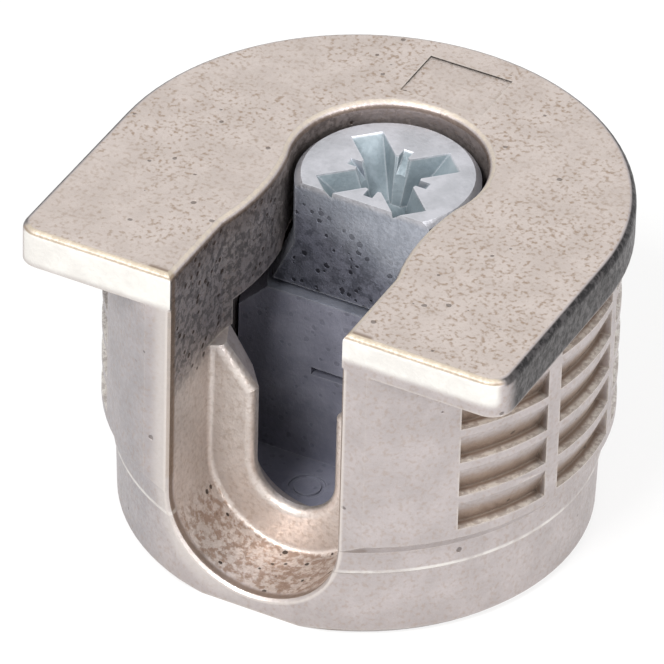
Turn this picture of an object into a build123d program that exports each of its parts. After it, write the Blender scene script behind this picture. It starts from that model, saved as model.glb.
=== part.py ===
"""Cam lock connector for flat-pack furniture: a barbed housing with a flange, and the cam inside it.

Millimetres, +Z up. The origin is on the body's axis, in the plane of the panel face on which the
flange lies. The body goes down into its drilled hole, and the connecting bolt comes in from -Y.
"""
import os
from math import cos, radians, sin

from build123d import *

os.makedirs("parts", exist_ok=True)

# Connecting bolt that the connector takes, from the panel face down
bolt_depth = 8.6
bolt_head_radius = 3.2
bolt_neck_radius = 1.6
bolt_clearance = 0.15

# Flange
flange_radius = 10.5
flange_thickness = 1.65
flange_corner_radius = 0.9
flange_edge_round = 0.35
mark_length = 3.6
mark_width = 2.65
mark_centre = 7.75
mark_depth = 0.07

# Body that is pressed into the panel
body_radius = 10.1
body_depth = 13.0
front_cut = 1.2
waist_inset = 0.45
lead_in_length = 0.6
ridge_depth = 9.75
ridge_step = 0.12
foot_inset = 0.2
foot_chamfer = 0.3

# Barbs: ledges that face up, in panels on both sides of the body
ledge_pitch = 1.6
ledge_count = 5
first_ledge_depth = 1.35
ledge_width = 0.5
crest_land = 0.35
crest_tail = 0.4
barb_panel_start = 49.5
barb_panel_arc = 23.0
barb_panel_pitch = 27.0
barb_panels_per_side = 4

# Bolt slot in the front, and the plate that the bolt head bears on
slot_half_width = 3.7
slot_length = 3.3
slot_edge_chamfer = 0.1
slot_root_round = 0.25
plate_thickness = 1.6
plate_land = 0.45
plate_seat_half_width = 2.65
plate_top_depth = 3.65
plate_rim_round = 0.35
funnel_half_width = 3.2
funnel_height = 1.65

# Keyhole in the flange, and the throat down which the bolt head goes
keyhole_neck_setback = 1.4
keyhole_shoulder_setback = 4.6
keyhole_hole_angle = 22.0
keyhole_blend_radius = 0.6
throat_half_width = 5.4
throat_roof_depth = 2.5

# Cam
cam_axis_setback = 2.0
cam_below_flange_top = 0.65
shank_radius = 3.65
shank_top_chamfer = 0.25
shank_gap = 0.25
shank_flat_distance = 2.2
drum_flat_distance = 2.45
collar_top_depth = 1.95
collar_radius = 4.4
groove_height = 0.3
groove_depth = 0.4
shoulder_depth = 4.25
shoulder_radius = 4.6
shoulder_height = 1.3
drum_radius = 5.7
drum_play = 0.08
drum_end_play = 0.1
cam_floor_thickness = 0.35
cam_floor_chamfer = 0.12

# Claw: the pocket for the bolt head, and the gap between the two prongs for its neck
hub_radius = 1.9
claw_inner_radius = 4.2
claw_eccentricity = 0.35
claw_widest_angle = -40.0
pocket_clearance = 0.15
pocket_end_clearance = 0.25

# Slit that the side core leaves in the drum's flat, and the ejector's ring on the cam's floor
slit_start = -1.9
slit_depth = 7.65
slit_height = 0.35
slit_recess = 0.4
ejector_ring_place = (-1.1, -4.1)
ejector_ring_radius = 0.75
ejector_ring_width = 0.2
ejector_ring_depth = 0.1

# Cross recess for the driver
recess_depth = 2.0
recess_arm_length = 2.75
recess_arm_root = 0.95
recess_arm_width = 1.3
recess_arm_root_width = 0.75
recess_rib_length = 1.75
recess_rib_width = 0.4
recess_pit_radius = 1.3
recess_pit_root_radius = 0.75
recess_angle = 45.0

# Lugs staked over the cam after it is put in from below
lug_count = 3
lug_reach = 0.45
lug_width = 1.8
lug_gap = 0.07

# Allowance by which a cut runs past the face it starts on, and the one for picking edges by place
overcut = 1.0
tolerance = 0.01

front_face = body_radius - front_cut
waist_radius = body_radius - waist_inset
foot_radius = waist_radius - foot_inset
plate_front = front_face - slot_length
plate_back = plate_front - plate_thickness
plate_slot_half_width = bolt_neck_radius + bolt_clearance
slot_floor_depth = bolt_depth + slot_half_width
last_ledge_depth = first_ledge_depth + (ledge_count - 1) * ledge_pitch
crest_end_depth = last_ledge_depth + crest_tail

shank_top = flange_thickness - cam_below_flange_top
groove_floor_radius = collar_radius - groove_depth
cam_hole_radius = shank_radius + shank_gap
cam_bore_radius = drum_radius + drum_play
cam_floor_depth = bolt_depth + bolt_head_radius + pocket_clearance
cam_bottom_depth = cam_floor_depth + cam_floor_thickness
pocket_roof_depth = bolt_depth - bolt_head_radius - pocket_clearance
chamber_roof_depth = shoulder_depth - drum_end_play
lug_height = body_depth - cam_bottom_depth - lug_gap

keyhole_shoulder = Vector(slot_half_width, -keyhole_shoulder_setback)
keyhole_neck = Vector(bolt_head_radius + bolt_clearance, -keyhole_neck_setback)
keyhole_end = Vector(
    cam_hole_radius * cos(radians(keyhole_hole_angle)),
    cam_axis_setback - cam_hole_radius * sin(radians(keyhole_hole_angle)),
)

cam_axis = Axis((0, cam_axis_setback, 0), (0, 0, 1))


def cam_level(depth):
    """Horizontal plane on the cam's axis, at a depth below the panel face."""
    return Plane.XY.offset(-depth).shift_origin((0, cam_axis_setback, -depth))


def upright_plane(angle, setback=0):
    """Vertical plane through an upright axis, with its local X at an angle about +Z."""
    return Plane(
        origin=(0, setback, 0),
        x_dir=Vector(1, 0, 0).rotate(Axis.Z, angle),
        z_dir=Vector(0, -1, 0).rotate(Axis.Z, angle),
    )


def plate_slot_outline(half_width, mouth_half_width):
    """Wire round the plate's slot: round at the bottom, with a funnel at its top."""
    funnel_depth = plate_top_depth + funnel_height
    with BuildLine(mode=Mode.PRIVATE) as outline:
        Polyline(
            (-half_width, -bolt_depth),
            (-half_width, -funnel_depth),
            (-mouth_half_width, -plate_top_depth),
            (mouth_half_width, -plate_top_depth),
            (half_width, -funnel_depth),
            (half_width, -bolt_depth),
        )
        ThreePointArc((half_width, -bolt_depth), (0, -bolt_depth - half_width), (-half_width, -bolt_depth))
    return outline.line


def barb_panel_angles():
    """Start angle of each barb panel about +Z, with the front at -90 degrees."""
    angles = []
    for index in range(barb_panels_per_side):
        offset = barb_panel_start + index * barb_panel_pitch
        angles.append(-90 + offset)
        angles.append(-90 - offset - barb_panel_arc)
    return angles


# Keyhole: as wide as the bolt slot at the front, it narrows to a neck that just passes the bolt head,
# and opens into the hole for the cam
with BuildSketch() as keyhole:
    with BuildLine():
        Polyline(
            (0, keyhole_end.Y),
            (0, -front_face - overcut),
            (slot_half_width, -front_face - overcut),
            keyhole_shoulder,
        )
        ThreePointArc(keyhole_shoulder, keyhole_neck, keyhole_end)
        Line(keyhole_end, (0, keyhole_end.Y))
    make_face()
    mirror(about=Plane.YZ)
    with Locations((0, cam_axis_setback)):
        Circle(cam_hole_radius)
    fillet(
        keyhole.vertices().filter_by_position(
            Axis.Y, keyhole_shoulder.Y - tolerance, keyhole_end.Y + tolerance
        ),
        radius=keyhole_blend_radius,
    )


# Flange: straight sides from the front to the axis, then a half circle, with the keyhole through it
with BuildPart() as flange:
    with BuildSketch() as flange_plan:
        with BuildLine():
            CenterArc((0, 0), flange_radius, 0, 180)
            Polyline(
                (-flange_radius, 0),
                (-flange_radius, -front_face),
                (flange_radius, -front_face),
                (flange_radius, 0),
            )
        make_face()
        fillet(flange_plan.vertices().group_by(Axis.Y)[0], radius=flange_corner_radius)
        add(keyhole.sketch, mode=Mode.SUBTRACT)
    extrude(amount=flange_thickness)
    fillet(flange.edges().group_by(Axis.Z)[-1], radius=flange_edge_round)


# Housing: flange, body, barbs, slots, throat and cam chamber in one casting
with BuildPart() as housing:
    # Body: barb zone, short lead-in, waist with a ridge at its end, foot
    with BuildSketch(Plane.XZ):
        with BuildLine():
            Polyline(
                (0, 0),
                (body_radius, 0),
                (body_radius, -crest_end_depth),
                (waist_radius, -crest_end_depth - lead_in_length),
                (waist_radius, -ridge_depth),
                (waist_radius - ridge_step, -ridge_depth - ridge_step),
                (foot_radius, -body_depth + foot_chamfer),
                (foot_radius - foot_chamfer, -body_depth),
                (0, -body_depth),
                close=True,
            )
        make_face()
    revolve(axis=Axis.Z)

    # The body is cut flat in line with the flange's front
    with BuildSketch(Plane.XY.offset(-body_depth)):
        with Locations((0, -front_face)):
            Rectangle(
                2 * body_radius,
                2 * body_radius,
                align=(Align.CENTER, Align.MAX),
            )
    extrude(amount=body_depth, mode=Mode.SUBTRACT)

    # Bolt slot: a U that is open at the top and to the front
    with BuildSketch(Plane.XZ.offset(front_face)) as bolt_slot:
        with Locations((0, -bolt_depth)):
            Circle(slot_half_width)
            Rectangle(
                2 * slot_half_width,
                bolt_depth,
                align=(Align.CENTER, Align.MIN),
            )
    extrude(amount=-slot_length, mode=Mode.SUBTRACT)
    fillet(
        housing.edges()
        .filter_by_position(Axis.Y, -plate_front - tolerance, -plate_front + tolerance)
        .filter_by_position(Axis.Z, -slot_floor_depth - tolerance, -tolerance),
        radius=slot_root_round,
    )

    # Channel under the keyhole, down to the top of the plate
    with BuildSketch(Plane.XY.offset(-plate_top_depth)):
        add(keyhole.sketch)
    extrude(amount=plate_top_depth, mode=Mode.SUBTRACT)
    add(flange.part)

    # Barbs: each recess deepens downwards and ends in a ledge that faces up
    for panel_angle in barb_panel_angles():
        with BuildSketch(upright_plane(panel_angle)):
            for index in range(ledge_count):
                ledge = -(first_ledge_depth + index * ledge_pitch)
                crest = ledge + ledge_pitch - crest_land
                with BuildLine():
                    Polyline(
                        (body_radius + ledge_width, ledge),
                        (body_radius - ledge_width, ledge),
                        (body_radius, crest),
                        (body_radius + ledge_width, crest),
                        close=True,
                    )
                make_face()
        revolve(axis=Axis.Z, revolution_arc=barb_panel_arc, mode=Mode.SUBTRACT)

    # Chamfer along the bolt slot's edge in the front face
    with BuildSketch(Plane.XZ.offset(front_face)):
        add(bolt_slot.sketch_local)
        offset(amount=slot_edge_chamfer)
    extrude(amount=-slot_edge_chamfer, taper=45, mode=Mode.SUBTRACT)

    # Plate slot for the bolt's neck: a funnel at its top, a land at its front, a seat for the head behind
    with BuildSketch(Plane.XZ.offset(plate_front)) as plate_slot:
        make_face(plate_slot_outline(plate_slot_half_width, funnel_half_width))
    extrude(amount=-plate_land, mode=Mode.SUBTRACT)
    with BuildSketch(Plane.XZ.offset(plate_front - plate_land)):
        add(plate_slot.sketch_local)
    with BuildSketch(Plane.XZ.offset(plate_back)):
        make_face(plate_slot_outline(plate_seat_half_width, slot_half_width))
    loft(ruled=True, mode=Mode.SUBTRACT)
    fillet(
        housing.edges()
        .filter_by_position(Axis.Y, -plate_front - tolerance, -plate_front + tolerance)
        .filter_by_position(Axis.X, -funnel_half_width, funnel_half_width)
        .filter_by_position(Axis.Z, -bolt_depth - plate_slot_half_width, -plate_top_depth - tolerance),
        radius=plate_rim_round,
    )

    # Throat behind the plate, nearly as wide as the cam, with a floor level with the bolt slot's
    with BuildSketch(Plane.XY.offset(-slot_floor_depth)):
        with Locations((0, -plate_back)):
            Rectangle(
                2 * throat_half_width,
                plate_back + cam_axis_setback,
                align=(Align.CENTER, Align.MIN),
            )
    extrude(amount=slot_floor_depth - throat_roof_depth, mode=Mode.SUBTRACT)

    # Cam chamber, bored from below, with a coned roof and the hole for the shank
    with BuildSketch(upright_plane(0, cam_axis_setback)):
        with BuildLine():
            Polyline(
                (0, -body_depth - overcut),
                (cam_bore_radius, -body_depth - overcut),
                (cam_bore_radius, -chamber_roof_depth - shoulder_height),
                (shoulder_radius + drum_end_play, -chamber_roof_depth),
                (cam_hole_radius, -collar_top_depth),
                (cam_hole_radius, 0),
                (0, 0),
                close=True,
            )
        make_face()
    revolve(axis=cam_axis, mode=Mode.SUBTRACT)

    # Lugs staked under the cam
    with BuildSketch(cam_level(body_depth)):
        with PolarLocations(cam_bore_radius - lug_reach, lug_count, start_angle=90):
            Rectangle(
                2 * lug_reach,
                lug_width,
                align=(Align.MIN, Align.CENTER),
            )
    extrude(amount=lug_height)

    # Shallow rectangular mark on the flange, behind the keyhole
    with BuildSketch(Plane.XY.offset(flange_thickness)):
        with Locations((0, mark_centre)):
            Rectangle(mark_length, mark_width)
    extrude(amount=-mark_depth, mode=Mode.SUBTRACT)
housing.part.label = "housing"


# Cam: flatted shank that flares to a collar, groove, coned drum with the claw, floor disc
with BuildPart() as cam:
    with BuildSketch(upright_plane(0, cam_axis_setback)):
        with BuildLine():
            Polyline(
                (0, -cam_bottom_depth),
                (drum_radius - cam_floor_chamfer, -cam_bottom_depth),
                (drum_radius, -cam_bottom_depth + cam_floor_chamfer),
                (drum_radius, -shoulder_depth - shoulder_height),
                (shoulder_radius, -shoulder_depth),
                (groove_floor_radius, -shoulder_depth),
                (groove_floor_radius, -shoulder_depth + groove_height),
                (collar_radius, -shoulder_depth + groove_height),
                (shank_radius, -collar_top_depth),
                (shank_radius, shank_top - shank_top_chamfer),
                (shank_radius - shank_top_chamfer, shank_top),
                (0, shank_top),
                close=True,
            )
        make_face()
    revolve(axis=cam_axis)

    # Flats on the front, so that the bolt head can pass: the drum's stands a little forward of the shank's
    for level, height, distance in (
        (cam_floor_depth, cam_floor_depth - shoulder_depth, drum_flat_distance),
        (shoulder_depth, groove_height, shank_flat_distance - groove_depth),
        (shoulder_depth, shoulder_depth + shank_top, shank_flat_distance),
    ):
        with BuildSketch(cam_level(level)):
            with Locations((0, -distance)):
                Rectangle(
                    2 * drum_radius,
                    drum_radius,
                    align=(Align.CENTER, Align.MAX),
                )
        extrude(amount=height, mode=Mode.SUBTRACT)

    # Slit in the drum's flat, at the upper prong
    with BuildSketch(cam_level(slit_depth + slit_height / 2)):
        with Locations((slit_start, -drum_flat_distance)):
            Rectangle(
                -slit_start,
                slit_recess,
                align=(Align.MIN, Align.MIN),
            )
    extrude(amount=slit_height, mode=Mode.SUBTRACT)

    # Ejector's ring, sunk into the cam's floor in front of the flat
    with BuildSketch(cam_level(cam_floor_depth)):
        with Locations(ejector_ring_place):
            Circle(ejector_ring_radius)
            Circle(ejector_ring_radius - ejector_ring_width, mode=Mode.SUBTRACT)
    extrude(amount=-ejector_ring_depth, mode=Mode.SUBTRACT)

    # Head pocket between the hub and the claw, cored from below
    with BuildSketch(cam_level(cam_bottom_depth)):
        with PolarLocations(claw_eccentricity, 1, start_angle=claw_widest_angle):
            Circle(claw_inner_radius)
        Circle(hub_radius, mode=Mode.SUBTRACT)
        Rectangle(
            drum_radius,
            drum_radius,
            align=(Align.MAX, Align.MAX),
            mode=Mode.SUBTRACT,
        )
        with Locations((-bolt_head_radius - pocket_end_clearance, 0)):
            Rectangle(
                drum_radius,
                2 * drum_radius,
                align=(Align.MAX, Align.CENTER),
                mode=Mode.SUBTRACT,
            )
        with Locations((0, -drum_flat_distance)):
            Rectangle(
                2 * drum_radius,
                drum_radius,
                align=(Align.CENTER, Align.MAX),
                mode=Mode.SUBTRACT,
            )
    extrude(amount=cam_bottom_depth - pocket_roof_depth, mode=Mode.SUBTRACT)

    # Gap for the bolt's neck, which leaves an upper and a lower prong
    with BuildSketch(cam_level(bolt_depth + plate_slot_half_width)):
        with Locations((-plate_slot_half_width, -drum_flat_distance)):
            Rectangle(
                2 * drum_radius,
                drum_flat_distance + 2 * drum_radius,
                align=(Align.MIN, Align.MIN),
            )
        Circle(hub_radius, mode=Mode.SUBTRACT)
        Rectangle(
            drum_radius,
            drum_radius,
            align=(Align.MAX, Align.MAX),
            mode=Mode.SUBTRACT,
        )
    extrude(amount=2 * plate_slot_half_width, mode=Mode.SUBTRACT)

    # Cross recess: four tapered wings, four short ribs' grooves between them, and a coned pit
    with BuildSketch(cam_level(-shank_top)):
        with PolarLocations(0, 2, start_angle=recess_angle, angular_range=180):
            Rectangle(2 * recess_arm_length, recess_arm_width)
    with BuildSketch(cam_level(recess_depth - shank_top)):
        with PolarLocations(0, 2, start_angle=recess_angle, angular_range=180):
            Rectangle(2 * recess_arm_root, recess_arm_root_width)
    loft(ruled=True, mode=Mode.SUBTRACT)
    for rib_angle in (recess_angle - 45, recess_angle + 45):
        with BuildSketch(upright_plane(rib_angle, cam_axis_setback)):
            with BuildLine():
                Polyline(
                    (-recess_rib_length, shank_top),
                    (recess_rib_length, shank_top),
                    (0, shank_top - recess_depth),
                    close=True,
                )
            make_face()
        extrude(amount=recess_rib_width / 2, both=True, mode=Mode.SUBTRACT)
    with BuildSketch(upright_plane(0, cam_axis_setback)):
        with BuildLine():
            Polyline(
                (0, shank_top),
                (recess_pit_radius, shank_top),
                (recess_pit_root_radius, shank_top - recess_depth),
                (0, shank_top - recess_depth - recess_pit_root_radius / 2),
                close=True,
            )
        make_face()
    revolve(axis=cam_axis, mode=Mode.SUBTRACT)
cam.part.label = "cam"


export_step(housing.part, "parts/housing.step")
export_step(cam.part, "parts/cam.step")
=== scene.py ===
"""Looks of the cam lock connector: plated casting, bare cam, soft studio light and camera.

Metres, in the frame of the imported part. The origin is on the body's axis, in the panel face.
"""
from math import cos, radians, sin
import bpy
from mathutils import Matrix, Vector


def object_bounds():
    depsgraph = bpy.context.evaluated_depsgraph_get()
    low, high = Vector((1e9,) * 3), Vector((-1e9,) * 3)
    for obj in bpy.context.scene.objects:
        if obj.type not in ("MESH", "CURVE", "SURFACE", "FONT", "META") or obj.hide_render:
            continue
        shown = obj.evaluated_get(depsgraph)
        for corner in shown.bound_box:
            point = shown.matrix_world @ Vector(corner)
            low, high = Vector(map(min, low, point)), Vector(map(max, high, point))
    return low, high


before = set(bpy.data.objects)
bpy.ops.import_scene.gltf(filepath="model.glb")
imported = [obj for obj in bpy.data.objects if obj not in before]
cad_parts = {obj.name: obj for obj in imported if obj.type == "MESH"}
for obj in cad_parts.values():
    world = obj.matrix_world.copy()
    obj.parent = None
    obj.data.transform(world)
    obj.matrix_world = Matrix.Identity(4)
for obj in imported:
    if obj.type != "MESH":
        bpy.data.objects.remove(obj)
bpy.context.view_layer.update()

from types import SimpleNamespace
from typing import NamedTuple

import bpy
from mathutils import Matrix, Vector


class Pattern(NamedTuple):
    """Cloudy noise, and the noise values at which the pattern sets in and is full."""

    scale: float
    detail: float
    roughness: float
    sets_in: float
    full: float


class Coat(NamedTuple):
    """A colour laid over the metal, and the share of the metal that it covers at most."""

    strength: float
    colour: tuple


class Lamp(NamedTuple):
    """Square soft lamp that is aimed at the object."""

    name: str
    place: tuple
    size: float
    watts: float
    colour: tuple


# Camera, from the fit to the photograph's outlines
IMAGE_SIZE = 664
CAMERA_AZIMUTH = radians(26.81)
CAMERA_ELEVATION = radians(36.628)
CAMERA_ROLL = radians(1.521)
CAMERA_DISTANCE = 0.355884
CAMERA_TARGET = Vector((0, 0, -0.00435))
CAMERA_SHIFT_RIGHT = -0.0011405
CAMERA_SHIFT_UP = -0.0008079
FOCAL_LENGTH_PIXELS = 9136.98
SENSOR_WIDTH = 36.0
NEAR_CLIP = 0.01
FAR_CLIP = 10.0

# Light, floor and background
KEY_LAMP = Lamp("key_lamp", (-0.05, -0.26, 0.28), 0.16, 1.6, (1.0, 0.99, 0.97))
FILL_LAMP = Lamp("fill_lamp", (0.28, -0.10, 0.16), 0.20, 0.8, (1.0, 1.0, 1.0))
WORLD_COLOUR = (1.0, 0.99, 0.97, 1.0)
WORLD_LIGHT = 0.62
WHITE = (1.0, 1.0, 1.0, 1.0)
BACKGROUND_STRENGTH = 1.0
FLOOR_SIZE = 1.2
FLOOR_GAP = 0.00002
FLOOR_COLOUR = (0.9, 0.9, 0.9, 1.0)
FLOOR_GLOW_SHARE = 0.72

# Sockets for colours in the node that mixes them
FIRST_COLOUR_INPUT = 6
SECOND_COLOUR_INPUT = 7
COLOUR_OUTPUT = 2

# Finish of both metals
METALLIC = 0.8
RELIEF_STRENGTH = 0.6
RELIEF_DEPTH = 0.00004
GRAIN_RELIEF = 0.3
EDGE_SAMPLES = 4
EDGE_LIKENESS = (0.985, 0.80)
HOLLOW_SAMPLES = 6
HOLLOW_REACH = 0.003
HOLLOW_LIGHT = (0.80, 0.15)
PIT_BEND_SCALE = 1.7
PIT_BEND = 0.25
PIT_RIM = 0.08
GRAIN = Pattern(5200.0, 3.0, 0.6, 0.3, 0.7)

# The front band, which gets a painted highlight, has a foot that climbs from left to right between two
# heights
BAND_FOOT_SIDES = (-0.003, 0.003)
BAND_FOOT_HEIGHTS = (0.0001, 0.0005)
BAND_FOOT_BLUR = 0.0002

# Places on the housing. A pair is a soft step, where a mask goes from 0 at the first value to 1 at the
# second, but a pair with a blur after it is the two ends of a soft band.
BOLT_DEPTH = 0.0086
KEYHOLE_SIDES = (0.0049, 0.0047)
KEYHOLE_BACK = (0.0070, 0.0068)
FLANGE_UNDERSIDE = (-0.00012, 0.00012)
FLANGE_TOP = (0.0014, 0.0015)
ROUNDING_FOOT = (0.0011, 0.0012)
FRONT = (-0.0083, -0.0086)
STRIP_BESIDE_SLOT = (0.0046, 0.0040)
STRIP_LEFT_OF_MIDDLE = (0.0010, -0.0030)
STRIP_TOP = (0.0006, 0.0002)
SLOT_LIP = (0.00395, 0.00385)
SIDE_WALL_START = (-0.0086, -0.0076)
NECK_WALL_FOOT = (-0.0050, -0.0030)
UNDER_RIM = (0.0002, 0.0012)
FRONT_CORNER = (-0.0088, -0.0085)
FRONT_CORNER_BLUR = 0.0001
SLOT_SIDES = (0.0040, 0.0038)
SLOT_BACK = (-0.0035, -0.0045)
SLOT_TOP = (-0.0030, -0.0046)
SLOT_FLOOR_ROUND = (0.0033, 0.0035)
SLOT_FLOOR_TOP = (-0.0092, -0.0106)
LEFT_SIDE = (-0.0034, -0.0056)
LEFT_SIDE_TOP = (0.0002, -0.0008)
BODY_SURFACE = (0.0091, 0.0093)
BARBS_FOOT = (-0.0081, -0.0079)
BARBS_TOP = (0.0, -0.0001)
BARB_RECESS = (0.01006, 0.00975)
BARB_LEDGE = (0.00970, 0.00995)
RIDGE = (-0.00978, -0.00962)
RIDGE_BLUR = 0.00004

# Turns of the housing's surface, as one component of its direction, in pairs of the same two kinds
FACES_FORWARD = (-0.6, -0.85)
FACES_OFF_FRONT = (-0.995, -0.98)
FACES_RIGHT = (0.1, 0.5)
FACES_UP = (0.95, 0.99)
FACES_UP_ON_LEDGE = (0.5, 0.7)
NOT_LEVEL = (0.985, 0.93)
NOT_UPRIGHT = (0.05, 0.30)
UPRIGHT = (0.45, 0.25)
NOT_DOWN = (-0.9, -0.5)
NOT_DOWN_IN_SLOT = (-0.6, -0.3)
SIDE_WALL_TURN = (0.93, 0.80)
UNDER_RIM_TURN = (0.50, 0.15)
FRONT_CROWN_TURN = (0.55, 0.80)
KEYHOLE_CROWN_TURN = (0.60, 0.78)
OUTER_ROUNDING_TURN = (0.96, 0.84)
# turns where a painted dark reflection band lies on the rounded front edge and round the keyhole's rim
FRONT_DARK_BAND_TURN = (0.42, 0.66)
FRONT_DARK_BAND_BLUR = 0.08
KEYHOLE_DARK_BAND_TURN = (0.10, 0.52)
KEYHOLE_DARK_BAND_BLUR = 0.10

# Patterns on the housing
HOUSING_CLOUD = Pattern(650.0, 4.0, 0.6, 0.35, 0.65)
HOUSING_MOTTLE = Pattern(3000.0, 4.0, 0.7, 0.42, 0.60)
SPECKLE = Pattern(5600.0, 2.0, 0.5, 0.48, 0.72)
THICK_SPECKLE = Pattern(300.0, 2.0, 0.6, 0.40, 0.58)
SPECKLE_WHERE_THIN_AND_THICK = (0.2, 1.0)
SPECKLE_ON_BODY_AND_TOP = (0.35, 0.85)
HOUSING_PIT_SCALE = 2500.0
HOUSING_PIT_SHARE = (0.02, 0.60)
HOUSING_PIT_WIDTH = 0.33
TOP_PITTING = 0.3
HOUSING_EDGE_RADIUS = 0.00018
HOUSING_ROUGHNESS = (0.38, 0.54)
RIM_ROUGHNESS = 0.2

# Colours of the housing, in pairs where a pattern or a direction goes from one to the other
BODY_COLOURS = ((0.415, 0.375, 0.372), (0.475, 0.430, 0.428))
# painted shade: the left side of the body is darker and bluer, where less light falls
LEFT_SIDE_PAINTED_SHADE_COLOURS = ((0.330, 0.312, 0.325), (0.375, 0.352, 0.365))
# painted light: the inside of the bolt slot is a lighter copy of the body's colours, standing in for light
# reaching into it
SLOT_PAINTED_LIGHT_COLOURS = ((0.57, 0.510, 0.475), (0.66, 0.600, 0.565))
TOP_COLOURS = ((0.535, 0.468, 0.430), (0.600, 0.530, 0.492))
# painted reflection: a near-black dark reflection painted on the flange's side wall
SIDE_WALL_PAINTED_REFLECTION_COLOURS = ((0.016, 0.015, 0.016), (0.075, 0.07, 0.072))
# painted reflection: dark on the outer rounding of the flange, darker where it faces right
OUTER_ROUNDING_PAINTED_REFLECTION_COLOURS = ((0.13, 0.125, 0.125), (0.035, 0.032, 0.032))
HOUSING_GRAIN = Coat(0.22, (0.33, 0.295, 0.29))
SPECKLE_COAT = Coat(1.0, (0.32, 0.235, 0.175))
# painted shade in the recesses of the barbs
BARB_RECESS_PAINTED_SHADE = Coat(0.75, (0.29, 0.205, 0.145))
# painted shade: mottled dark grey on the keyhole's neck wall
NECK_WALL_PAINTED_SHADE = Coat(1.0, (0.13, 0.12, 0.12))
# dark brown mottled coat on the floor of the bolt slot
SLOT_FLOOR_BROWN_COAT = Coat(0.7, (0.24, 0.14, 0.085))
# painted shade: darkening in corners and hollows by ambient occlusion, weaker on the slot's plate
HOLLOW_PAINTED_SHADE = Coat(1.0, (0.20, 0.165, 0.15))
HOUSING_PIT_COAT = Coat(1.0, (0.05, 0.035, 0.027))
# lighter outer edges: partly wear, partly a painted highlight
HOUSING_EDGE_WEAR_AND_HIGHLIGHT = Coat(0.5, (0.66, 0.62, 0.56))
# painted highlights on a strip beside the bolt slot and on its lip
SLOT_STRIP_PAINTED_HIGHLIGHT = Coat(0.75, (0.56, 0.52, 0.50))
SLOT_LIP_PAINTED_HIGHLIGHT = Coat(0.7, (0.62, 0.57, 0.54))
# painted shadow: a dark line on the keyhole's walls just behind the front face
FRONT_CORNER_PAINTED_SHADOW = Coat(0.8, (0.20, 0.14, 0.10))
# painted highlight on the front band, the barb ledges and the ridge; on the front band it is partly polish
# from handling
POLISH_AND_PAINTED_HIGHLIGHT = Coat(1.0, (0.80, 0.785, 0.75))
# painted highlights on the crowns of the keyhole's rim and of the front edge
KEYHOLE_CROWN_PAINTED_HIGHLIGHT = Coat(1.0, (0.54, 0.48, 0.41))
FRONT_CROWN_PAINTED_HIGHLIGHT = Coat(0.9, (0.46, 0.40, 0.32))
# painted dark reflection on the rounded front edge
FRONT_ROUNDING_PAINTED_DARK_REFLECTION = Coat(0.85, (0.30, 0.235, 0.17))
UNDER_RIM_SHADE = Coat(0.35, (0.12, 0.08, 0.06))
# painted dark reflection round the keyhole's rim
KEYHOLE_ROUNDING_PAINTED_DARK_REFLECTION = Coat(0.75, (0.13, 0.09, 0.065))
SIDE_WALL_REFLECTION_STRENGTH = 0.95
OUTER_ROUNDING_REFLECTION_STRENGTH = 0.85

# Shares that a coat goes between as a pattern or a place sets in
NECK_WALL_SHADE_SHARE = (0.30, 0.90)
HOLLOW_SHADE_SHARE = (0.45, 0.10)
HOUSING_PIT_DEPTHS = (0.6, 0.95)
BAND_POLISH_AND_HIGHLIGHT = (0.80, 0.98)
LEDGE_PAINTED_HIGHLIGHT = (0.95, 0.4)
RIDGE_PAINTED_HIGHLIGHT = (0.15, 0.6)
KEYHOLE_CROWN_SHARE = (0.95, 0.65)

# Places on the cam and turns of its surface, in pairs where there is a soft step
CAM_SETBACK = 0.002
CAM_TOP_HEIGHT = 0.001
CAM_SHOULDER_HEIGHT = -0.00425
CAM_SHOULDER_BLUR = 0.0001
CAM_TOP = (0.00035, 0.00005)
RECESS_REACH = (0.0031, 0.0029)
RECESS_MOUTH = (0.0, 0.0001)
RECESS_BOTTOM = (0.0032, 0.0028)
FACES_OFF_FLAT = (-0.999, -0.99)
FACES_AS_FLAT = (-0.97, -0.99)
# the shank's flat gets painted shade towards its lower left
FLAT_SLANT = 0.6
LOW_ON_FLAT = (0.0006, 0.0038)

# Patterns and colours of the cam
CAM_CLOUD = Pattern(600.0, 4.0, 0.6, 0.35, 0.65)
CAM_MOTTLE = Pattern(2600.0, 4.0, 0.65, 0.44, 0.58)
CAM_PIT_SCALE = 2900.0
CAM_PIT_SHARE = 0.75
CAM_PIT_WIDTH = 0.44
CAM_EDGE_RADIUS = 0.00016
CAM_ROUGHNESS = (0.38, 0.52)
RECESS_ROUGHNESS = 0.15
DULL_METALLIC = 0.35
SHANK_COLOURS = ((0.33, 0.36, 0.42), (0.47, 0.50, 0.57))
# painted shade on the shank's flat
FLAT_PAINTED_SHADE_COLOURS = ((0.15, 0.155, 0.20), (0.055, 0.057, 0.08))
FLAT_SHADE_STRENGTH = 0.88
CAM_TOP_COLOURS = ((0.46, 0.465, 0.495), (0.58, 0.58, 0.62))
CAM_TOP_STRENGTH = 0.9
RECESS_COLOURS = ((0.17, 0.215, 0.24), (0.24, 0.29, 0.32))
RECESS_STRENGTH = 0.9
DRUM_COLOURS = ((0.20, 0.205, 0.26), (0.265, 0.27, 0.335))
CAM_GRAIN = Coat(0.3, (0.27, 0.29, 0.33))
CAM_PIT_COAT = Coat(1.0, (0.02, 0.02, 0.028))
# lighter edges: partly wear, partly a painted highlight
CAM_EDGE_WEAR_AND_HIGHLIGHT = Coat(1.0, (0.64, 0.66, 0.70))
DRUM_PITTING = 0.3
CAM_PIT_DEPTHS = (0.05, 0.85)
CAM_EDGE_SHARE = (0.5, 0.15)


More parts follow.
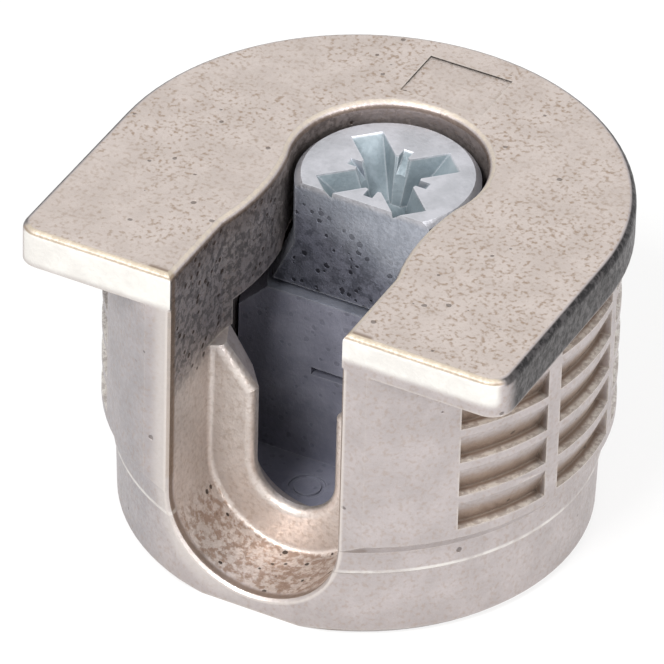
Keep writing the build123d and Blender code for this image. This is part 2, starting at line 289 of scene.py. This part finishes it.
class Nodes:
    """Short calls that add nodes to one material and link them."""

    def __init__(self, tree):
        self.tree = tree

    def add(self, kind, inputs=(), **settings):
        node = self.tree.nodes.new(kind)
        for name, value in settings.items():
            setattr(node, name, value)
        for name, value in dict(inputs).items():
            self.put(node, name, value)
        return node

    def put(self, node, name, value):
        socket = node.inputs[name]
        if isinstance(value, bpy.types.NodeSocket):
            self.tree.links.new(value, socket)
        else:
            socket.default_value = value

    def split(self, vector):
        outputs = self.add("ShaderNodeSeparateXYZ", {"Vector": vector}).outputs
        return outputs["X"], outputs["Y"], outputs["Z"]

    def math(self, operation, first, second=0.0):
        return self.add("ShaderNodeMath", {0: first, 1: second}, operation=operation).outputs[0]

    def times(self, *values):
        product = values[0]
        for value in values[1:]:
            product = self.math("MULTIPLY", product, value)
        return product

    def most(self, *values):
        largest = values[0]
        for value in values[1:]:
            largest = self.math("MAXIMUM", largest, value)
        return largest

    def inverse(self, value):
        return self.math("SUBTRACT", 1.0, value)

    def distance(self, first, second):
        squares = self.math("ADD", self.times(first, first), self.times(second, second))
        return self.math("SQRT", squares)

    def span(self, value, low, high, to_low=0.0, to_high=1.0):
        """Smooth step from to_low at low to to_high at high."""
        inputs = {"Value": value, "From Min": low, "From Max": high, "To Min": to_low, "To Max": to_high}
        node = self.add("ShaderNodeMapRange", inputs, interpolation_type="SMOOTHSTEP")
        return node.outputs["Result"]

    def share(self, value, at_none, at_full):
        """Smooth change from one share, where a mask is 0, to another, where it is 1."""
        return self.span(value, 0.0, 1.0, at_none, at_full)

    def between(self, value, low, high, blur):
        """1 between two values, with soft ends."""
        return self.times(
            self.span(value, low - blur, low + blur),
            self.span(value, high + blur, high - blur),
        )

    def pattern(self, position, pattern):
        noise = self.add(
            "ShaderNodeTexNoise",
            {
                "Vector": position,
                "Scale": pattern.scale,
                "Detail": pattern.detail,
                "Roughness": pattern.roughness,
            },
        )
        return self.span(noise.outputs["Fac"], pattern.sets_in, pattern.full)

    def mix(self, factor, first, second):
        node = self.add("ShaderNodeMix", {"Factor": factor}, data_type="RGBA")
        for index, value in ((FIRST_COLOUR_INPUT, first), (SECOND_COLOUR_INPUT, second)):
            if isinstance(value, bpy.types.NodeSocket):
                self.tree.links.new(value, node.inputs[index])
            else:
                node.inputs[index].default_value = (*value, 1.0)
        return node.outputs[COLOUR_OUTPUT]

    def coat(self, coat, *masks):
        """A coat's share by its masks and strength, and its colour."""
        return self.times(*masks, coat.strength), coat.colour

    def layers(self, colour, *layers):
        """A colour with others laid over it in turn, each by its share."""
        for share, laid in layers:
            colour = self.mix(share, colour, laid)
        return colour


def new_material(name):
    material = bpy.data.materials.new(name)
    material.use_nodes = True
    material.node_tree.nodes.clear()
    return material, Nodes(material.node_tree)


def edge_mask(nodes, radius):
    """1 on outer edges, where a rounded normal leaves the surface's own."""
    geometry = nodes.add("ShaderNodeNewGeometry")
    bevel = nodes.add("ShaderNodeBevel", {"Radius": radius}, samples=EDGE_SAMPLES)
    likeness = nodes.add("ShaderNodeVectorMath", operation="DOT_PRODUCT")
    nodes.put(likeness, 0, geometry.outputs["Normal"])
    nodes.put(likeness, 1, bevel.outputs["Normal"])
    return nodes.span(likeness.outputs["Value"], *EDGE_LIKENESS)


def hollow_mask(nodes):
    """1 deep in corners and hollows, where painted shade goes."""
    occlusion = nodes.add("ShaderNodeAmbientOcclusion", {"Distance": HOLLOW_REACH}, samples=HOLLOW_SAMPLES)
    return nodes.span(occlusion.outputs["AO"], *HOLLOW_LIGHT)


def round_pits(nodes, position, scale, share, widest):
    """Round pits of mixed widths in a share of the cells of a scattered pattern."""
    bend = nodes.add("ShaderNodeTexNoise", {"Vector": position, "Scale": scale * PIT_BEND_SCALE})
    shift = nodes.add(
        "ShaderNodeVectorMath",
        {0: bend.outputs["Color"], "Scale": PIT_BEND / scale},
        operation="SCALE",
    )
    place = nodes.add("ShaderNodeVectorMath", {0: position, 1: shift.outputs[0]}, operation="ADD")
    cells = nodes.add("ShaderNodeTexVoronoi", {"Vector": place.outputs[0], "Scale": scale})
    chance = nodes.split(cells.outputs["Color"])[0]
    width = nodes.span(chance, nodes.inverse(share), 1.0, 0.0, widest)
    return nodes.span(nodes.math("SUBTRACT", width, cells.outputs["Distance"]), 0.0, PIT_RIM)


def finish_material(nodes, colour, metallic, roughness, relief):
    """Metal shader with its relief, and the material's output."""
    bump = nodes.add(
        "ShaderNodeBump",
        {"Strength": RELIEF_STRENGTH, "Distance": RELIEF_DEPTH, "Height": relief},
    )
    shader = nodes.add(
        "ShaderNodeBsdfPrincipled",
        {
            "Base Color": colour,
            "Metallic": metallic,
            "Roughness": roughness,
            "Normal": bump.outputs["Normal"],
        },
    )
    output = nodes.add("ShaderNodeOutputMaterial")
    nodes.put(output, "Surface", shader.outputs[0])


def housing_places(nodes, position, direction):
    """Masks of the places on the housing that look different."""
    x, y, z = nodes.split(position)
    facing_x, facing_y, facing_z = nodes.split(direction)
    across = nodes.math("ABSOLUTE", x)
    from_axis = nodes.distance(x, y)
    below_bolt = nodes.math("MINIMUM", nodes.math("ADD", z, BOLT_DEPTH), 0.0)
    from_slot = nodes.distance(x, below_bolt)

    in_keyhole = nodes.times(nodes.span(across, *KEYHOLE_SIDES), nodes.span(y, *KEYHOLE_BACK))
    off_keyhole = nodes.inverse(in_keyhole)
    in_flange = nodes.span(z, *FLANGE_UNDERSIDE)
    at_front = nodes.span(y, *FRONT)
    off_front = nodes.inverse(at_front)
    forward = nodes.span(facing_y, *FACES_FORWARD)
    not_forward = nodes.inverse(forward)
    front_face = nodes.times(forward, at_front)
    above_rounding_foot = nodes.span(z, *ROUNDING_FOOT)
    rounded = nodes.times(
        nodes.span(facing_z, *NOT_UPRIGHT),
        nodes.span(facing_z, *NOT_LEVEL),
        above_rounding_foot,
    )
    outside = nodes.times(nodes.span(from_axis, *BODY_SURFACE), nodes.span(facing_y, *FACES_OFF_FRONT))
    barb_zone = nodes.times(outside, nodes.span(z, *BARBS_FOOT), nodes.span(z, *BARBS_TOP))

    place = SimpleNamespace()
    place.to_right = nodes.span(facing_x, *FACES_RIGHT)
    place.left_side = nodes.times(nodes.span(x, *LEFT_SIDE), nodes.span(z, *LEFT_SIDE_TOP))

    # Flange: level top, rounded edges with a painted highlight on the crown and a painted dark reflection
    # band, a front band with a painted highlight, painted dark reflection on the outer rounding and the side
    # wall
    place.top = nodes.times(nodes.span(facing_z, *FACES_UP), nodes.span(z, *FLANGE_TOP))
    place.front_crown = nodes.times(rounded, nodes.span(facing_z, *FRONT_CROWN_TURN), at_front)
    place.front_groove = nodes.times(
        rounded,
        at_front,
        nodes.between(facing_z, *FRONT_DARK_BAND_TURN, FRONT_DARK_BAND_BLUR),
    )
    band_foot = nodes.span(x, *BAND_FOOT_SIDES, *BAND_FOOT_HEIGHTS)
    above_band_foot = nodes.math("SUBTRACT", z, band_foot)
    place.front_band = nodes.times(front_face, nodes.span(above_band_foot, -BAND_FOOT_BLUR, BAND_FOOT_BLUR))
    place.outer_rounding = nodes.times(
        rounded,
        off_front,
        off_keyhole,
        nodes.span(facing_z, *OUTER_ROUNDING_TURN),
    )
    place.side_wall = nodes.times(
        in_flange,
        nodes.span(y, *SIDE_WALL_START),
        off_keyhole,
        nodes.span(facing_z, *SIDE_WALL_TURN),
        nodes.span(facing_z, *NOT_DOWN),
    )

    # Keyhole: a painted highlight on the crown and a painted dark reflection band round its rim, shade below
    # them, painted shade on the neck wall, a painted shadow line at the front
    place.keyhole_crown = nodes.times(
        rounded,
        in_keyhole,
        off_front,
        nodes.span(facing_z, *KEYHOLE_CROWN_TURN),
    )
    place.keyhole_groove = nodes.times(
        in_keyhole,
        off_front,
        nodes.between(facing_z, *KEYHOLE_DARK_BAND_TURN, KEYHOLE_DARK_BAND_BLUR),
        above_rounding_foot,
    )
    place.under_rim = nodes.times(
        in_keyhole,
        off_front,
        nodes.span(facing_z, *UNDER_RIM_TURN),
        nodes.span(z, *UNDER_RIM),
    )
    place.neck_wall = nodes.times(
        in_keyhole,
        not_forward,
        nodes.span(facing_z, *UPRIGHT),
        nodes.span(z, *NECK_WALL_FOOT),
    )
    place.front_corner = nodes.times(
        in_keyhole,
        nodes.between(y, *FRONT_CORNER, FRONT_CORNER_BLUR),
        not_forward,
    )

    # Bolt slot: painted highlights on a strip and the lip on the front face, the slot's inside, which gets
    # painted light, its plate and its floor
    place.slot_strip = nodes.times(
        front_face,
        nodes.span(from_slot, *STRIP_BESIDE_SLOT),
        nodes.span(x, *STRIP_LEFT_OF_MIDDLE),
        nodes.span(z, *STRIP_TOP),
    )
    place.slot_lip = nodes.times(front_face, nodes.span(from_slot, *SLOT_LIP), nodes.inverse(in_flange))
    place.in_slot = nodes.times(
        nodes.span(across, *SLOT_SIDES),
        off_front,
        nodes.span(y, *SLOT_BACK),
        nodes.span(z, *SLOT_TOP),
        nodes.span(facing_z, *NOT_DOWN_IN_SLOT),
    )
    place.plate = nodes.times(place.in_slot, forward)
    place.slot_floor = nodes.times(
        nodes.span(from_slot, *SLOT_FLOOR_ROUND),
        nodes.span(z, *SLOT_FLOOR_TOP),
        not_forward,
        place.in_slot,
    )

    # Body: recesses of the barbs, which get painted shade, their ledges and the ridge above the foot, which
    # get painted highlights
    place.barb_recess = nodes.times(barb_zone, nodes.span(from_axis, *BARB_RECESS))
    place.barb_ledge = nodes.times(
        barb_zone,
        nodes.span(facing_z, *FACES_UP_ON_LEDGE),
        nodes.span(from_axis, *BARB_LEDGE),
    )
    place.ridge = nodes.times(outside, nodes.between(z, *RIDGE, RIDGE_BLUR))
    return place


def plated_casting():
    """Satin nickel plate on a rough casting, warm and pitted on top, with painted highlights along the front
    (partly polish) and the rims, painted light inside the bolt slot, and painted shade and dark reflections
    in hollows, recesses and on the sides.
    """
    material, nodes = new_material("nickel_plated_casting")
    coordinates = nodes.add("ShaderNodeTexCoord").outputs
    position = coordinates["Object"]
    place = housing_places(nodes, position, coordinates["Normal"])
    neck_wall_and_slot_floor = nodes.most(place.neck_wall, place.slot_floor)

    cloud = nodes.pattern(position, HOUSING_CLOUD)
    mottle = nodes.pattern(position, HOUSING_MOTTLE)
    grain = nodes.pattern(position, GRAIN)
    speckle = nodes.pattern(position, SPECKLE)
    thick = nodes.pattern(position, THICK_SPECKLE)
    speckled = nodes.times(place.top, nodes.share(thick, *SPECKLE_WHERE_THIN_AND_THICK))
    pitted = nodes.most(neck_wall_and_slot_floor, nodes.times(place.top, thick, TOP_PITTING))
    pits = round_pits(
        nodes,
        position,
        HOUSING_PIT_SCALE,
        nodes.share(pitted, *HOUSING_PIT_SHARE),
        HOUSING_PIT_WIDTH,
    )
    # painted highlights on the front band, the barb ledges and the ridge, partly polish on the front band
    polish_and_painted_highlight = nodes.most(
        nodes.times(place.front_band, nodes.share(cloud, *BAND_POLISH_AND_HIGHLIGHT)),
        nodes.times(place.barb_ledge, nodes.share(mottle, *LEDGE_PAINTED_HIGHLIGHT)),
        nodes.times(place.ridge, nodes.share(cloud, *RIDGE_PAINTED_HIGHLIGHT)),
    )

    colour = nodes.layers(
        nodes.mix(cloud, *BODY_COLOURS),
        # painted shade on the left side of the body
        (place.left_side, nodes.mix(cloud, *LEFT_SIDE_PAINTED_SHADE_COLOURS)),
        # painted light inside the bolt slot
        (place.in_slot, nodes.mix(cloud, *SLOT_PAINTED_LIGHT_COLOURS)),
        (place.top, nodes.mix(cloud, *TOP_COLOURS)),
        nodes.coat(HOUSING_GRAIN, grain),
        nodes.coat(SPECKLE_COAT, speckle, nodes.share(speckled, *SPECKLE_ON_BODY_AND_TOP)),
        # painted shade in the recesses of the barbs
        nodes.coat(BARB_RECESS_PAINTED_SHADE, place.barb_recess),
        # painted shade on the keyhole's neck wall
        nodes.coat(NECK_WALL_PAINTED_SHADE, place.neck_wall, nodes.share(mottle, *NECK_WALL_SHADE_SHARE)),
        nodes.coat(SLOT_FLOOR_BROWN_COAT, place.slot_floor, mottle),
        # painted shade in corners and hollows
        nodes.coat(HOLLOW_PAINTED_SHADE, hollow_mask(nodes), nodes.share(place.plate, *HOLLOW_SHADE_SHARE)),
        nodes.coat(HOUSING_PIT_COAT, pits, nodes.share(neck_wall_and_slot_floor, *HOUSING_PIT_DEPTHS)),
        # lighter outer edges: partly wear, partly a painted highlight
        nodes.coat(HOUSING_EDGE_WEAR_AND_HIGHLIGHT, edge_mask(nodes, HOUSING_EDGE_RADIUS)),
        # painted highlights beside the bolt slot and on its lip
        nodes.coat(SLOT_STRIP_PAINTED_HIGHLIGHT, place.slot_strip),
        nodes.coat(SLOT_LIP_PAINTED_HIGHLIGHT, place.slot_lip),
        # painted shadow line behind the front face
        nodes.coat(FRONT_CORNER_PAINTED_SHADOW, place.front_corner),
        # painted highlights, partly polish on the front band
        nodes.coat(POLISH_AND_PAINTED_HIGHLIGHT, polish_and_painted_highlight),
        # painted highlights on the crowns of the keyhole's rim and of the front edge
        nodes.coat(KEYHOLE_CROWN_PAINTED_HIGHLIGHT, place.keyhole_crown, nodes.share(mottle, *KEYHOLE_CROWN_SHARE)),
        nodes.coat(FRONT_CROWN_PAINTED_HIGHLIGHT, place.front_crown),
        # painted dark reflection band on the rounded front edge
        nodes.coat(FRONT_ROUNDING_PAINTED_DARK_REFLECTION, place.front_groove),
        nodes.coat(UNDER_RIM_SHADE, place.under_rim),
        # painted dark reflection band round the keyhole's rim
        nodes.coat(KEYHOLE_ROUNDING_PAINTED_DARK_REFLECTION, place.keyhole_groove),
        # painted dark reflection on the flange's outer rounding
        (
            nodes.times(place.outer_rounding, OUTER_ROUNDING_REFLECTION_STRENGTH),
            nodes.mix(place.to_right, *OUTER_ROUNDING_PAINTED_REFLECTION_COLOURS),
        ),
        # painted dark reflection on the flange's side wall
        (nodes.times(place.side_wall, SIDE_WALL_REFLECTION_STRENGTH), nodes.mix(mottle, *SIDE_WALL_PAINTED_REFLECTION_COLOURS)),
    )

    rims = nodes.most(place.keyhole_crown, place.front_crown, place.front_groove)
    roughness = nodes.math("ADD", nodes.share(grain, *HOUSING_ROUGHNESS), nodes.times(rims, RIM_ROUGHNESS))
    relief = nodes.math("SUBTRACT", nodes.times(grain, GRAIN_RELIEF), pits)
    finish_material(nodes, colour, METALLIC, roughness, relief)
    return material


def zinc_casting():
    """Bare zinc casting: grey where the driver bears on it, pitted on the shank's flat with painted shade
    towards its lower left, dark on the drum, edges lighter partly from wear and partly as a painted
    highlight.
    """
    material, nodes = new_material("zinc_casting")
    coordinates = nodes.add("ShaderNodeTexCoord").outputs
    position = coordinates["Object"]
    x, y, z = nodes.split(position)
    facing_y = nodes.split(coordinates["Normal"])[1]
    from_axis = nodes.distance(x, nodes.math("SUBTRACT", y, CAM_SETBACK))
    below_top = nodes.math("SUBTRACT", CAM_TOP_HEIGHT, z)

    drum = nodes.span(z, CAM_SHOULDER_HEIGHT + CAM_SHOULDER_BLUR, CAM_SHOULDER_HEIGHT - CAM_SHOULDER_BLUR)
    top = nodes.span(below_top, *CAM_TOP)
    recess = nodes.times(
        nodes.span(from_axis, *RECESS_REACH),
        nodes.span(below_top, *RECESS_MOUTH),
        nodes.span(below_top, *RECESS_BOTTOM),
        nodes.span(facing_y, *FACES_OFF_FLAT),
    )
    flat = nodes.times(nodes.span(facing_y, *FACES_AS_FLAT), nodes.inverse(drum))
    down_and_left = nodes.math("SUBTRACT", below_top, nodes.times(x, FLAT_SLANT))
    low_on_flat = nodes.times(flat, nodes.span(down_and_left, *LOW_ON_FLAT))

    cloud = nodes.pattern(position, CAM_CLOUD)
    mottle = nodes.pattern(position, CAM_MOTTLE)
    grain = nodes.pattern(position, GRAIN)
    pitted = nodes.most(low_on_flat, nodes.times(drum, DRUM_PITTING))
    pits = nodes.times(
        round_pits(nodes, position, CAM_PIT_SCALE, CAM_PIT_SHARE, CAM_PIT_WIDTH),
        nodes.share(pitted, *CAM_PIT_DEPTHS),
    )

    colour = nodes.layers(
        nodes.mix(cloud, *SHANK_COLOURS),
        nodes.coat(CAM_GRAIN, grain),
        # painted shade towards the lower left of the shank's flat
        (nodes.times(low_on_flat, FLAT_SHADE_STRENGTH), nodes.mix(mottle, *FLAT_PAINTED_SHADE_COLOURS)),
        (nodes.times(top, CAM_TOP_STRENGTH), nodes.mix(cloud, *CAM_TOP_COLOURS)),
        (nodes.times(recess, RECESS_STRENGTH), nodes.mix(cloud, *RECESS_COLOURS)),
        (drum, nodes.mix(cloud, *DRUM_COLOURS)),
        nodes.coat(CAM_PIT_COAT, pits),
        # lighter edges on the cam: partly wear, partly a painted highlight
        nodes.coat(CAM_EDGE_WEAR_AND_HIGHLIGHT, edge_mask(nodes, CAM_EDGE_RADIUS), nodes.share(drum, *CAM_EDGE_SHARE)),
    )

    metallic = nodes.share(nodes.most(drum, recess), METALLIC, DULL_METALLIC)
    roughness = nodes.math("ADD", nodes.share(grain, *CAM_ROUGHNESS), nodes.times(recess, RECESS_ROUGHNESS))
    relief = nodes.math("SUBTRACT", nodes.times(grain, GRAIN_RELIEF), pits)
    finish_material(nodes, colour, metallic, roughness, relief)
    return material


def seen_directly(nodes):
    """1 for rays from the camera, from glossy surfaces and through clear ones."""
    path = nodes.add("ShaderNodeLightPath").outputs
    return nodes.most(path["Is Camera Ray"], path["Is Glossy Ray"], path["Is Transmission Ray"])


def mix_shaders(nodes, factor, first, second):
    mixed = nodes.add("ShaderNodeMixShader", {0: factor})
    nodes.put(mixed, 1, first.outputs[0])
    nodes.put(mixed, 2, second.outputs[0])
    return mixed


def white_floor():
    """White where the lamps reach it, grey in the object's shadow, and clear from below."""
    material, nodes = new_material("white_floor")
    lit = nodes.add("ShaderNodeBsdfDiffuse", {"Color": FLOOR_COLOUR})
    glow = nodes.add("ShaderNodeEmission", {"Color": WHITE, "Strength": BACKGROUND_STRENGTH})
    above = mix_shaders(nodes, nodes.times(seen_directly(nodes), FLOOR_GLOW_SHARE), lit, glow)
    clear = nodes.add("ShaderNodeBsdfTransparent")
    geometry = nodes.add("ShaderNodeNewGeometry")
    one_sided = mix_shaders(nodes, geometry.outputs["Backfacing"], above, clear)
    output = nodes.add("ShaderNodeOutputMaterial")
    nodes.put(output, "Surface", one_sided.outputs[0])
    return material


def paint(node_name, material):
    """Gives a CAD node one material."""
    mesh_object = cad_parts[node_name]
    mesh_object.data.materials.clear()
    mesh_object.data.materials.append(material)


def add_floor():
    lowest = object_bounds()[0].z - FLOOR_GAP
    mesh = bpy.data.meshes.new("floor")
    half = FLOOR_SIZE / 2
    corners = [(-half, -half, lowest), (half, -half, lowest), (half, half, lowest), (-half, half, lowest)]
    mesh.from_pydata(corners, [], [(0, 1, 2, 3)])
    floor = bpy.data.objects.new("floor", mesh)
    floor.data.materials.append(white_floor())
    bpy.context.scene.collection.objects.link(floor)


def add_world():
    """Soft light from all round, and a white background."""
    world = bpy.data.worlds.new("studio")
    world.use_nodes = True
    world.node_tree.nodes.clear()
    nodes = Nodes(world.node_tree)
    light = nodes.add("ShaderNodeBackground", {"Color": WORLD_COLOUR, "Strength": WORLD_LIGHT})
    backdrop = nodes.add("ShaderNodeBackground", {"Color": WHITE, "Strength": BACKGROUND_STRENGTH})
    mixed = mix_shaders(nodes, seen_directly(nodes), light, backdrop)
    output = nodes.add("ShaderNodeOutputWorld")
    nodes.put(output, "Surface", mixed.outputs[0])
    bpy.context.scene.world = world


def add_lamp(lamp):
    data = bpy.data.lights.new(lamp.name, "AREA")
    data.size = lamp.size
    data.energy = lamp.watts
    data.color = lamp.colour
    light = bpy.data.objects.new(lamp.name, data)
    light.location = lamp.place
    light.rotation_euler = (CAMERA_TARGET - Vector(lamp.place)).to_track_quat("-Z", "Y").to_euler()
    bpy.context.scene.collection.objects.link(light)


def add_camera():
    """Camera at the photograph's viewing angle."""
    forward = Vector(
        (
            -sin(CAMERA_AZIMUTH) * cos(CAMERA_ELEVATION),
            cos(CAMERA_AZIMUTH) * cos(CAMERA_ELEVATION),
            -sin(CAMERA_ELEVATION),
        )
    )
    level_right = Vector((cos(CAMERA_AZIMUTH), sin(CAMERA_AZIMUTH), 0))
    level_up = level_right.cross(forward)
    right = cos(CAMERA_ROLL) * level_right + sin(CAMERA_ROLL) * level_up
    up = cos(CAMERA_ROLL) * level_up - sin(CAMERA_ROLL) * level_right
    aim = CAMERA_TARGET + CAMERA_SHIFT_RIGHT * right + CAMERA_SHIFT_UP * up

    data = bpy.data.cameras.new("camera")
    data.sensor_width = SENSOR_WIDTH
    data.lens = FOCAL_LENGTH_PIXELS / IMAGE_SIZE * SENSOR_WIDTH
    data.clip_start = NEAR_CLIP
    data.clip_end = FAR_CLIP
    camera = bpy.data.objects.new("camera", data)
    turn = Matrix((right, up, -forward)).transposed().to_4x4()
    camera.matrix_world = Matrix.Translation(aim - CAMERA_DISTANCE * forward) @ turn
    bpy.context.scene.collection.objects.link(camera)
    bpy.context.scene.camera = camera


paint("housing", plated_casting())
paint("cam", zinc_casting())
add_floor()
add_world()
add_lamp(KEY_LAMP)
add_lamp(FILL_LAMP)
add_camera()
bpy.context.scene.view_settings.view_transform = "Standard"
